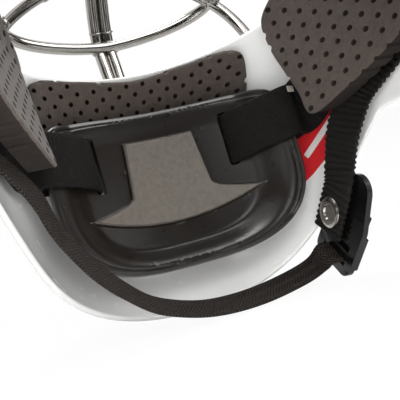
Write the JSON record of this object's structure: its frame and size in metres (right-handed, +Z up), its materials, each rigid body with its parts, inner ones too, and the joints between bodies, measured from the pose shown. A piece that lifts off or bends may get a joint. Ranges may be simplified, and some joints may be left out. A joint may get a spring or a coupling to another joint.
{
  "type": "hockey goalie mask",
  "caption": "Goalie mask with a white moulded shell, steel wire cage, foam lining, chin cup on elastics, chin strap with a snap fastener and a back plate on an elastic harness.",
  "frame": {"origin": "on the ground under the middle of the mask, which leans back on its chin edge and back plate", "axes": "+X to the wearer's left, +Y towards the back of the head, +Z up"},
  "size_m": [0.2382, 0.312, 0.2596],
  "materials": {
    "shell_white": "gloss",
    "plate_white": "satin",
    "cage_steel": "polished",
    "clip_steel": "satin",
    "screw_steel": "satin",
    "foam_grey": "matt",
    "backing_black": "matt",
    "band_black": "matt",
    "cup_foam": "satin",
    "webbing_black": "matt",
    "buckle_black": "gloss"
  },
  "bodies": {
    "root": {"shell": "shell_white", "cage_perimeter_wire": "cage_steel", "cage_centre_rods": "cage_steel", "cage_u_bar": "cage_steel", "cage_arch_bar": "cage_steel", "cage_brow_bar": "cage_steel", "cage_cheek_bars": "cage_steel", "cage_upper_bars": "cage_steel", "cage_clips": "clip_steel", "clip_screws": "screw_steel", "clip_t_nuts": "clip_steel", "chin_front_pad": "foam_grey", "cheek_pad_left": "foam_grey", "cheek_pad_right": "foam_grey", "cheek_backing_left": "backing_black", "cheek_backing_right": "backing_black", "temple_pads": "foam_grey", "forehead_pad": "foam_grey", "sweatband": "band_black", "crown_pad": "foam_grey", "chin_cup_elastic_left": "webbing_black", "chin_cup_elastic_right": "webbing_black", "elastic_rivets": "screw_steel", "snap_strap": "webbing_black", "snap_stud": "screw_steel", "chin_strap": "webbing_black", "chin_strap_rivet": "screw_steel", "snap_strap_rivet": "screw_steel", "top_strap": "webbing_black", "upper_strap_left": "webbing_black", "upper_strap_right": "webbing_black", "lower_strap_left": "webbing_black", "lower_strap_right": "webbing_black", "harness_rivets": "screw_steel"},
    "back_plate": {"backplate": "plate_white", "backplate_pad": "foam_grey", "backplate_rivets": "screw_steel"},
    "chin_cup_body": {"chin_cup": "cup_foam"},
    "buckle_body": {"snap_buckle": "buckle_black"},
    "top_slider_body": {"top_slider": "buckle_black"},
    "upper_slider_left_body": {"upper_slider_left": "buckle_black"},
    "upper_slider_right_body": {"upper_slider_right": "buckle_black"},
    "lower_slider_left_body": {"lower_slider_left": "buckle_black"},
    "lower_slider_right_body": {"lower_slider_right": "buckle_black"}
  },
  "joints": [
    {"name": "backplate_stretch", "type": "slide", "parent": "root", "child": "back_plate", "axis": [0, 0.938, -0.3467], "range_m": [0, 0.025], "stiffness_N_per_m": 1200, "deforming": ["top_strap", "upper_strap_left", "upper_strap_right", "lower_strap_left", "lower_strap_right"]},
    {"name": "chin_cup_give", "type": "slide", "parent": "root", "child": "chin_cup_body", "axis": [0, -0.9774, -0.2116], "range_m": [0, 0.01], "stiffness_N_per_m": 800, "deforming": ["chin_cup_elastic_left", "chin_cup_elastic_right"]},
    {"name": "snap_release", "type": "slide", "parent": "root", "child": "buckle_body", "axis": [-0.9907, -0.0471, -0.1273], "range_m": [0, 0.007], "deforming": ["chin_strap"]},
    {"name": "top_slider_travel", "type": "slide", "parent": "back_plate", "child": "top_slider_body", "axis": [0, 0.2883, -0.9575], "range_m": [-0.006, 0.005]},
    {"name": "upper_slider_left_travel", "type": "slide", "parent": "back_plate", "child": "upper_slider_left_body", "axis": [-0.6028, 0.4017, -0.6894], "range_m": [-0.006, 0.005]},
    {"name": "upper_slider_right_travel", "type": "slide", "parent": "back_plate", "child": "upper_slider_right_body", "axis": [0.6028, 0.4017, -0.6894], "range_m": [-0.006, 0.005]},
    {"name": "lower_slider_left_travel", "type": "slide", "parent": "back_plate", "child": "lower_slider_left_body", "axis": [-0.7011, 0.351, -0.6207], "range_m": [-0.006, 0.005]},
    {"name": "lower_slider_right_travel", "type": "slide", "parent": "back_plate", "child": "lower_slider_right_body", "axis": [0.7011, 0.351, -0.6207], "range_m": [-0.006, 0.005]}
  ]
}
